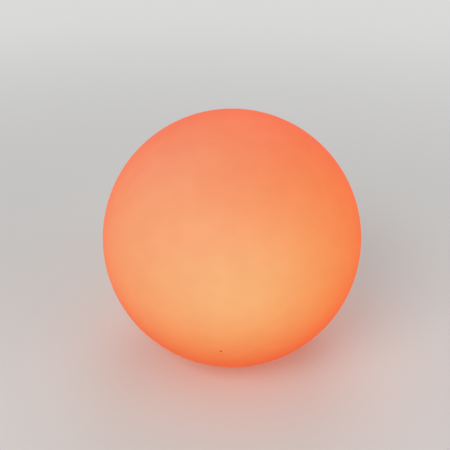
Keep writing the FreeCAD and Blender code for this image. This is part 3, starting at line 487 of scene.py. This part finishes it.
notch = primitive(bpy.ops.mesh.primitive_cylinder_add, "flap_notch", vertices=48, radius=NOTCH_RADIUS,
                  depth=NOTCH_HEIGHT,
                  location=(0, FLAP_LOW.y - NOTCH_RADIUS / 2, HINGE_Z - NOTCH_HEIGHT / 2))
round_edges(notch, NOTCH_EDGE, steps=3, test=lambda a, b: min(a.z, b.z) > HINGE_Z - LEVEL)
combine(flap, notch, "DIFFERENCE")

open_whole(flap)
bpy.ops.mesh.remove_doubles(threshold=MERGE)
bpy.ops.mesh.dissolve_degenerate(threshold=MERGE)
shut()
bpy.ops.object.shade_smooth_by_angle(angle=SMOOTH_ANGLE)
flap.data.materials.append(black_rubber)
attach(flap, "flap")
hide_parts("port_flap")

# ---- control board -------------------------------------------------------------------------------
# A fibreglass board under green solder mask, screwed to posts on the cover. Its etched copper runs
# show through the mask as paler lines, and its routed edge is bare.

RUN_LENGTH = 0.0062
RUN_SPACING = 0.0024
RUN_STAGGER = 0.37
RUN_WIDTH = 0.00028
RUN_HEIGHT = 0.00003
RUN_SHOW = 0.7
MASK_CLOUD = 0.01
MASK_CLOUD_SHOW = 0.25


def masked_board(name, mask, copper, edge):
    """A printed circuit board: solder mask over copper runs, with a bare edge."""
    material, shader, start = finish(name, IOR=1.5)
    runs = start.node("ShaderNodeTexBrick", {"offset": RUN_STAGGER},
                      {"Vector": start.place(), "Scale": 1.0, "Mortar Size": RUN_WIDTH,
                       "Mortar Smooth": 0.1, "Brick Width": RUN_LENGTH, "Row Height": RUN_SPACING},
                      out="Fac")
    cloud = start.noise(MASK_CLOUD, detail=3.0)
    face = (runs * RUN_SHOW).colours(mask, copper)
    face = (cloud * MASK_CLOUD_SHOW).colours(face, tint(mask, gain=0.7))
    sideways = abs(start.rise()) < 0.5
    join(shader, Base_Color=sideways.colours(face, edge), Roughness=cloud.about(0.35, swing=0.1),
         Normal=(1.0 - runs).bumps(RUN_HEIGHT))
    return material


dress(masked_board("board_green", mask=(0.012, 0.115, 0.045), copper=(0.03, 0.2, 0.085),
                   edge=(0.42, 0.4, 0.22)), "control_board")

# ---- parts on the control board ------------------------------------------------------------------
# Black moulded packages, coil and switch, capacitors in metal cans and nylon lead terminals, all
# soldered on, and the clear rod that brings the charge light down to the cover's face.

dress(moulded("chip_black", (0.022, 0.022, 0.024), roughness=0.5, grain=0.0002, depth=0.00001),
      "board_chips", "power_coil", "tact_switch")
dress(plated("capacitor_can", (0.36, 0.37, 0.42), roughness=0.36), "board_capacitors")
dress(moulded("terminal_nylon", (0.78, 0.75, 0.66), roughness=0.48, grain=0.0003, depth=0.00001,
              mottle=0.05), "lead_terminals")

SAW_MARK = 0.0008
clear, clear_shader, start = finish("clear_plastic", IOR=1.49)
ends = start.noise(SAW_MARK, detail=3.0)
join(clear_shader, Base_Color=ends.colours((0.60, 0.64, 0.66), (0.80, 0.83, 0.85)),
     Roughness=ends.about(0.15, swing=0.1))
dress(clear, "charge_light_pipe")

# ---- cells and cradle ----------------------------------------------------------------------------
# Two steel cells in blue shrink wrap with bare ends, in a pale moulded tray that is screwed under the
# housing's top. A screwed clip of the same plastic follows their undersides and holds them.

dress(moulded("cradle_plastic", (0.62, 0.62, 0.59), roughness=0.55, grain=0.0005, depth=0.00003,
              mottle=0.06), "battery_cradle", "battery_strap")

WRAP_END = 0.0308
WRAP_CLOUD = 0.006
BARE_CAN = (0.6, 0.6, 0.6)
wrap, wrap_shader, start = finish("cell_wrap", IOR=1.5)
bare = abs(start.place().axis("Y")) > WRAP_END
film = start.noise(WRAP_CLOUD, detail=3.0)
blue = film.colours((0.025, 0.11, 0.3), (0.04, 0.16, 0.4))
join(wrap_shader, Base_Color=bare.colours(blue, BARE_CAN), Metallic=bare,
     Roughness=film.about(0.35, swing=0.1))
dress(wrap, "battery_cell_left", "battery_cell_right")

# ---- lamp board ----------------------------------------------------------------------------------
# A round aluminium-backed board under white mask, screwed to the housing's posts, with two rings of
# light packages, each a phosphor window in pale resin, and the receiver for the hand-held remote.

dress(masked_board("board_white", mask=(0.83, 0.83, 0.81), copper=(0.76, 0.76, 0.74),
                   edge=(0.5, 0.5, 0.5)), "led_board")

LED_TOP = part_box("led_packages")[1][2]
WINDOW_SINK = 0.0001
PHOSPHOR_GRAIN = 0.0004
RESIN = (0.84, 0.83, 0.79)
UNLIT = (0.0, 0.0, 0.0)
lens, lens_shader, start = finish("led_lens", IOR=1.5, Emission_Strength=1.0)
window = (start.rise() > 0.5) * (start.place().axis("Z") < LED_TOP - WINDOW_SINK)
grains = start.noise(PHOSPHOR_GRAIN)
phosphor = grains.colours((0.9, 0.62, 0.18), (0.97, 0.76, 0.3))
lit = grains.colours((0.9, 0.36, 0.12), (1.0, 0.46, 0.18))
join(lens_shader, Base_Color=window.colours(RESIN, phosphor), Emission_Color=window.colours(UNLIT, lit),
     Roughness=grains.about(0.35, swing=0.1))
dress(lens, "led_packages")
dress(moulded("receiver_black", (0.015, 0.012, 0.014), roughness=0.2, grain=0.0003, depth=0.000004),
      "remote_receiver")

# ---- dome ----------------------------------------------------------------------------------------
# The frosted dome that keeps the lamp board dry: one moulding, screwed down by its flange on a flat
# rubber ring. A rubber bush seals the lead's hole in the housing's top below it.

dress(moulded("frosted_dome", (0.86, 0.85, 0.81), roughness=0.5, grain=0.0008, depth=0.00002,
              mottle=0.03), "led_dome")
dress(black_rubber, "dome_gasket", "lead_grommet")

# ---- leads ---------------------------------------------------------------------------------------
# Two short leads in red silicone sleeves, pushed into their terminals: one goes up from the control
# board to the lamp board, and one comes down to it from the strip that joins the cells.

dress(rubber("lead_sleeve", (0.33, 0.03, 0.025), roughness=0.45), "lamp_lead", "battery_lead")

# ---- neck ring and seal --------------------------------------------------------------------------
# The pale moulded ring that is bonded in the ball's neck and carries the helical lugs, and the rubber
# ring in its groove that closes the gap between ball and base.

dress(moulded("neck_plastic", (0.70, 0.66, 0.60), roughness=0.5, grain=0.0005, depth=0.00002,
              mottle=0.05), "neck_ring")
dress(rubber("seal_rubber", (0.60, 0.58, 0.53), roughness=0.7), "globe_seal")

# ---- ball ----------------------------------------------------------------------------------------
# One hollow moulding in frosted polyethylene, 300 mm across with a 3 mm wall, turned in under itself
# to a lip and a neck. Lit from inside, its skin glows, brightest a little below the middle.

BALL_RADIUS = 0.150
WALL = 0.003
BALL_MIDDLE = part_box("globe_shell")[1][2] - BALL_RADIUS
LIP_RADIUS = 0.0045
LIP_Z = 0.008
LIP_STEPS = 14
NECK_BORE = 0.04905
NECK_HEIGHTS = (0.014, 0.020, 0.026)

ball = primitive(bpy.ops.mesh.primitive_uv_sphere_add, "ball", segments=160, ring_count=80,
                 radius=BALL_RADIUS, location=(0, 0, BALL_MIDDLE))

lip_middle = NECK_BORE + LIP_RADIUS
lip_start = math.atan2(LIP_Z - BALL_MIDDLE, lip_middle)
lip_turn = -math.pi - lip_start
opening_z = LIP_Z + LIP_RADIUS * math.sin(lip_start)
rings = []
for step in range(1, LIP_STEPS + 1):
    angle = lip_start + lip_turn * step / LIP_STEPS
    rings.append((lip_middle + LIP_RADIUS * math.cos(angle), LIP_Z + LIP_RADIUS * math.sin(angle)))
rings += [(NECK_BORE, z) for z in NECK_HEIGHTS]

open_whole(ball)
bpy.ops.mesh.bisect(plane_co=(0, 0, opening_z), plane_no=(0, 0, 1), clear_inner=True, threshold=MERGE)
bpy.ops.mesh.select_all(action="DESELECT")
bpy.ops.mesh.select_mode(type="EDGE")
bpy.ops.mesh.select_non_manifold(extend=False)
last_radius, last_z = lip_middle + LIP_RADIUS * math.cos(lip_start), opening_z
for radius, z in rings:
    bpy.ops.mesh.extrude_region_move(TRANSFORM_OT_translate={"value": (0, 0, z - last_z)})
    bpy.ops.transform.resize(value=(radius / last_radius, radius / last_radius, 1),
                             center_override=(0, 0, 0))
    last_radius, last_z = radius, z
bpy.ops.mesh.select_all(action="SELECT")
bpy.ops.mesh.remove_doubles(threshold=MERGE)
bpy.ops.mesh.normals_make_consistent(inside=False)
shut()
wall = ball.modifiers.new("wall", "SOLIDIFY")
wall.thickness = WALL
wall.offset = -1.0
wall.use_even_offset = True
bpy.ops.object.modifier_apply(modifier=wall.name)
bpy.ops.object.shade_smooth_by_angle(angle=SMOOTH_ANGLE)

# the glow from the bottom to the top of the ball, and the painted light and shade that it is multiplied
# by across the ball, paler to the left and darker to the right: a least-squares fit to the photo,
# rounded, with seven of the ten colours then moved by 0.02 at most
UNDERSIDE = (0.70, 0.15, 0.05)
LOW_BELLY = (0.78, 0.22, 0.06)
BELLY = (0.85, 0.43, 0.18)
SHOULDER = (0.82, 0.48, 0.23)
UPPER = (0.83, 0.38, 0.20)
CROWN = (0.78, 0.24, 0.15)
LEFT_SIDE = (0.98, 0.94, 1.00)
LEFT_FRONT = (0.98, 1.00, 0.87)
RIGHT_FRONT = (1.00, 0.87, 0.63)
RIGHT_SIDE = (1.00, 0.61, 0.27)

# a painted highlight of the glow on the front, a painted reflection of the sky's light as a paler patch
# at the upper left, and a small dark speck low on the front
PLAIN = (1.0, 1.0, 1.0)
PAINTED_HIGHLIGHT = (1.0, 1.21, 1.40)
PAINTED_HIGHLIGHT_PLACE = (0.022, -0.147, BALL_MIDDLE + 0.015)
PAINTED_HIGHLIGHT_REACH = 0.13
# painted reflection of the sky's light, at the upper left
PAINTED_SKY_REFLECTION = (1.0, 1.14, 1.28)
PAINTED_SKY_REFLECTION_PLACE = (-0.060, -0.060, BALL_MIDDLE + 0.124)
PAINTED_SKY_REFLECTION_REACH = 0.110
SPECK = (0.04, 0.02, 0.01)
LIT_SPECK = (0.42, 0.07, 0.01)
SPECK_PLACE = (-0.0119, -0.1370, BALL_MIDDLE - 0.0599)
SPECK_RADIUS, SPECK_FADE = 0.0008, 0.0016
SKIN_CLOUD = 0.024
SKIN_DIM = (0.975, 0.945, 0.925)
SKIN_GRAIN = 0.0009
SKIN_GRAIN_DEPTH = 0.00003


def ramp(along, *colours):
    """From colour to colour at even steps, as a wire goes from 0 to 1."""
    stops = [(number / (len(colours) - 1), colour) for number, colour in enumerate(colours)]
    return along.node("ShaderNodeValToRGB", {"stops": stops}, {"Fac": along})


def away_from(place, middle):
    """How far a place is from another, in metres."""
    return place.node("ShaderNodeVectorMath", {"operation": "DISTANCE"}, {0: place, 1: middle},
                      out="Value")


def painted_light_patch(place, middle, reach, colour):
    """A round patch of painted light on the skin that takes a colour at its middle and none at its
    reach.
    """
    return (1.0 - away_from(place, middle).between(0.0, reach)).colours(PLAIN, colour)


shell, shell_shader, start = finish("frosted_shell", IOR=1.45, Specular_IOR_Level=0.15,
                                    Emission_Strength=1.0, Coat_Weight=1.0, Coat_IOR=1.04,
                                    Coat_Roughness=0.45, Coat_Tint=(1.0, 0.80, 0.76, 1.0))
place = start.place()
height = (place.axis("Z") - (BALL_MIDDLE - BALL_RADIUS)) * (0.5 / BALL_RADIUS)
across = (place.axis("X") + BALL_RADIUS) * (0.5 / BALL_RADIUS)
glow = ramp(height, UNDERSIDE, LOW_BELLY, BELLY, SHOULDER, UPPER, CROWN)
# painted light and shade across the ball: paler to the left, darker to the right
painted_side_shading = ramp(across, LEFT_SIDE, LEFT_FRONT, RIGHT_FRONT, RIGHT_SIDE)
# painted highlight: the glow made paler and brighter on the front
painted_highlight = painted_light_patch(place, PAINTED_HIGHLIGHT_PLACE, PAINTED_HIGHLIGHT_REACH, PAINTED_HIGHLIGHT)
# painted reflection of the sky's light: the glow made paler at the upper left
painted_sky_reflection = painted_light_patch(place, PAINTED_SKY_REFLECTION_PLACE, PAINTED_SKY_REFLECTION_REACH, PAINTED_SKY_REFLECTION)
cloud = start.noise(SKIN_CLOUD)
grain = start.noise(SKIN_GRAIN, detail=3.0, roughness=0.6)
clean = away_from(place, SPECK_PLACE).between(SPECK_RADIUS, SPECK_FADE)
dim = (cloud * 0.8 + grain * 0.2).between(0.25, 0.75).colours(SKIN_DIM, PLAIN)
dim = clean.colours(LIT_SPECK, dim)
skin = cloud.colours((0.15, 0.09, 0.05), (0.17, 0.11, 0.06))
join(shell_shader, Base_Color=clean.colours(SPECK, skin), Roughness=grain.about(0.52, swing=0.12),
     Emission_Color=glow.times(painted_side_shading).times(painted_highlight).times(painted_sky_reflection).times(dim),
     Normal=grain.bumps(SKIN_GRAIN_DEPTH))
ball.data.materials.append(shell)
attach(ball, "globe")
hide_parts("globe_shell")

# ---- studio --------------------------------------------------------------------------------------
# A plain pale floor of paper that shows from above only, three soft lamps at a plain level, and the
# camera, 30 degrees above the ball.

PALE = (0.70, 0.70, 0.69)
FLOOR_SIZE = 12.0
FADE_START, FADE_END = 0.45, 1.8  # how far out the lit paper turns to plain pale
PAPER_FIBRE = 0.4
BOUNCE = (0.45, 0.45, 0.44)  # what the floor gives back to the light
SKY = (0.42, 0.42, 0.42)  # what comes in from all round

floor = primitive(bpy.ops.mesh.primitive_plane_add, "floor", size=FLOOR_SIZE, location=(0, 0, 0))
paper, paper_shader, start = finish("floor_paper", Roughness=0.9, Specular_IOR_Level=0.2)
fibre = start.noise(PAPER_FIBRE)
join(paper_shader, Base_Color=fibre.colours((0.79, 0.785, 0.775), (0.81, 0.805, 0.795)))


def looked_at(start):
    """1 for what the camera sees itself, or in metal or clear plastic."""
    camera_ray = start.node("ShaderNodeLightPath", out="Is Camera Ray")
    glossy_ray = start.node("ShaderNodeLightPath", out="Is Glossy Ray")
    passing_ray = start.node("ShaderNodeLightPath", out="Is Transmission Ray")
    return start.maths("MAXIMUM", start.maths("MAXIMUM", camera_ray, glossy_ray), passing_ray)


def even_light(start, colour):
    """A shader that shows one colour, however it is lit."""
    return start.node("ShaderNodeEmission", (), {"Color": (*colour, 1.0), "Strength": 1.0})


def mix_shaders(factor, first, second):
    """The first shader where the factor is 0, and the second where it is 1."""
    return factor.node("ShaderNodeMixShader", (), {0: factor, 1: first, 2: second})


far_out = away_from(start.place(), (0, 0, 0)).between(FADE_START, FADE_END)
bounced = start.node("ShaderNodeLightPath", out="Is Diffuse Ray")
behind = start.node("ShaderNodeNewGeometry", out="Backfacing")
seen = Wire(start.tree, paper_shader.outputs[0])
seen = mix_shaders(far_out * looked_at(start), seen, even_light(start, PALE))
seen = mix_shaders(bounced, seen, even_light(start, BOUNCE))
seen = mix_shaders(behind, seen, start.node("ShaderNodeBsdfTransparent"))
join(paper.node_tree.nodes["Material Output"], Surface=seen)
floor.data.materials.append(paper)

world = bpy.data.worlds.new("studio")
bpy.context.scene.world = world
world.use_nodes = True
join(world.node_tree.nodes["Background"], Color=looked_at(Wire(world.node_tree)).colours(SKY, PALE))


def lamp(name, place, size, power):
    """A square soft lamp that points at the middle of the ball."""
    light = bpy.data.lights.new(name, "AREA")
    light.shape = "SQUARE"
    light.size = size
    light.energy = power
    holder = bpy.data.objects.new(name, light)
    bpy.context.collection.objects.link(holder)
    holder.location = place
    x, y, z = -place[0], -place[1], BALL_MIDDLE - place[2]
    tilt = math.pi / 2 + math.atan2(z, math.hypot(x, y))
    holder.rotation_euler = (tilt, 0, math.atan2(y, x) - math.pi / 2)


lamp("key", (-0.9, -1.5, 1.5), size=1.2, power=16.0)
lamp("fill", (1.6, -0.9, 0.9), size=1.4, power=6.0)
lamp("back", (0.3, 1.8, 1.6), size=1.4, power=8.0)

CAMERA_DISTANCE = 0.9
CAMERA_RISE = math.radians(30)
SENSOR_WIDTH = 36.0
LENS = 61.2
SHIFT_X, SHIFT_Y = -0.01556, 0.02844

camera_data = bpy.data.cameras.new("camera")
camera = bpy.data.objects.new("camera", camera_data)
bpy.context.collection.objects.link(camera)
camera.location = (0, -CAMERA_DISTANCE * math.cos(CAMERA_RISE),
                   BALL_MIDDLE + CAMERA_DISTANCE * math.sin(CAMERA_RISE))
camera.rotation_euler = (math.pi / 2 - CAMERA_RISE, 0, 0)
camera_data.sensor_width = SENSOR_WIDTH
camera_data.lens = LENS
camera_data.shift_x = SHIFT_X
camera_data.shift_y = SHIFT_Y
bpy.context.scene.camera = camera
bpy.context.scene.view_settings.view_transform = "Standard"
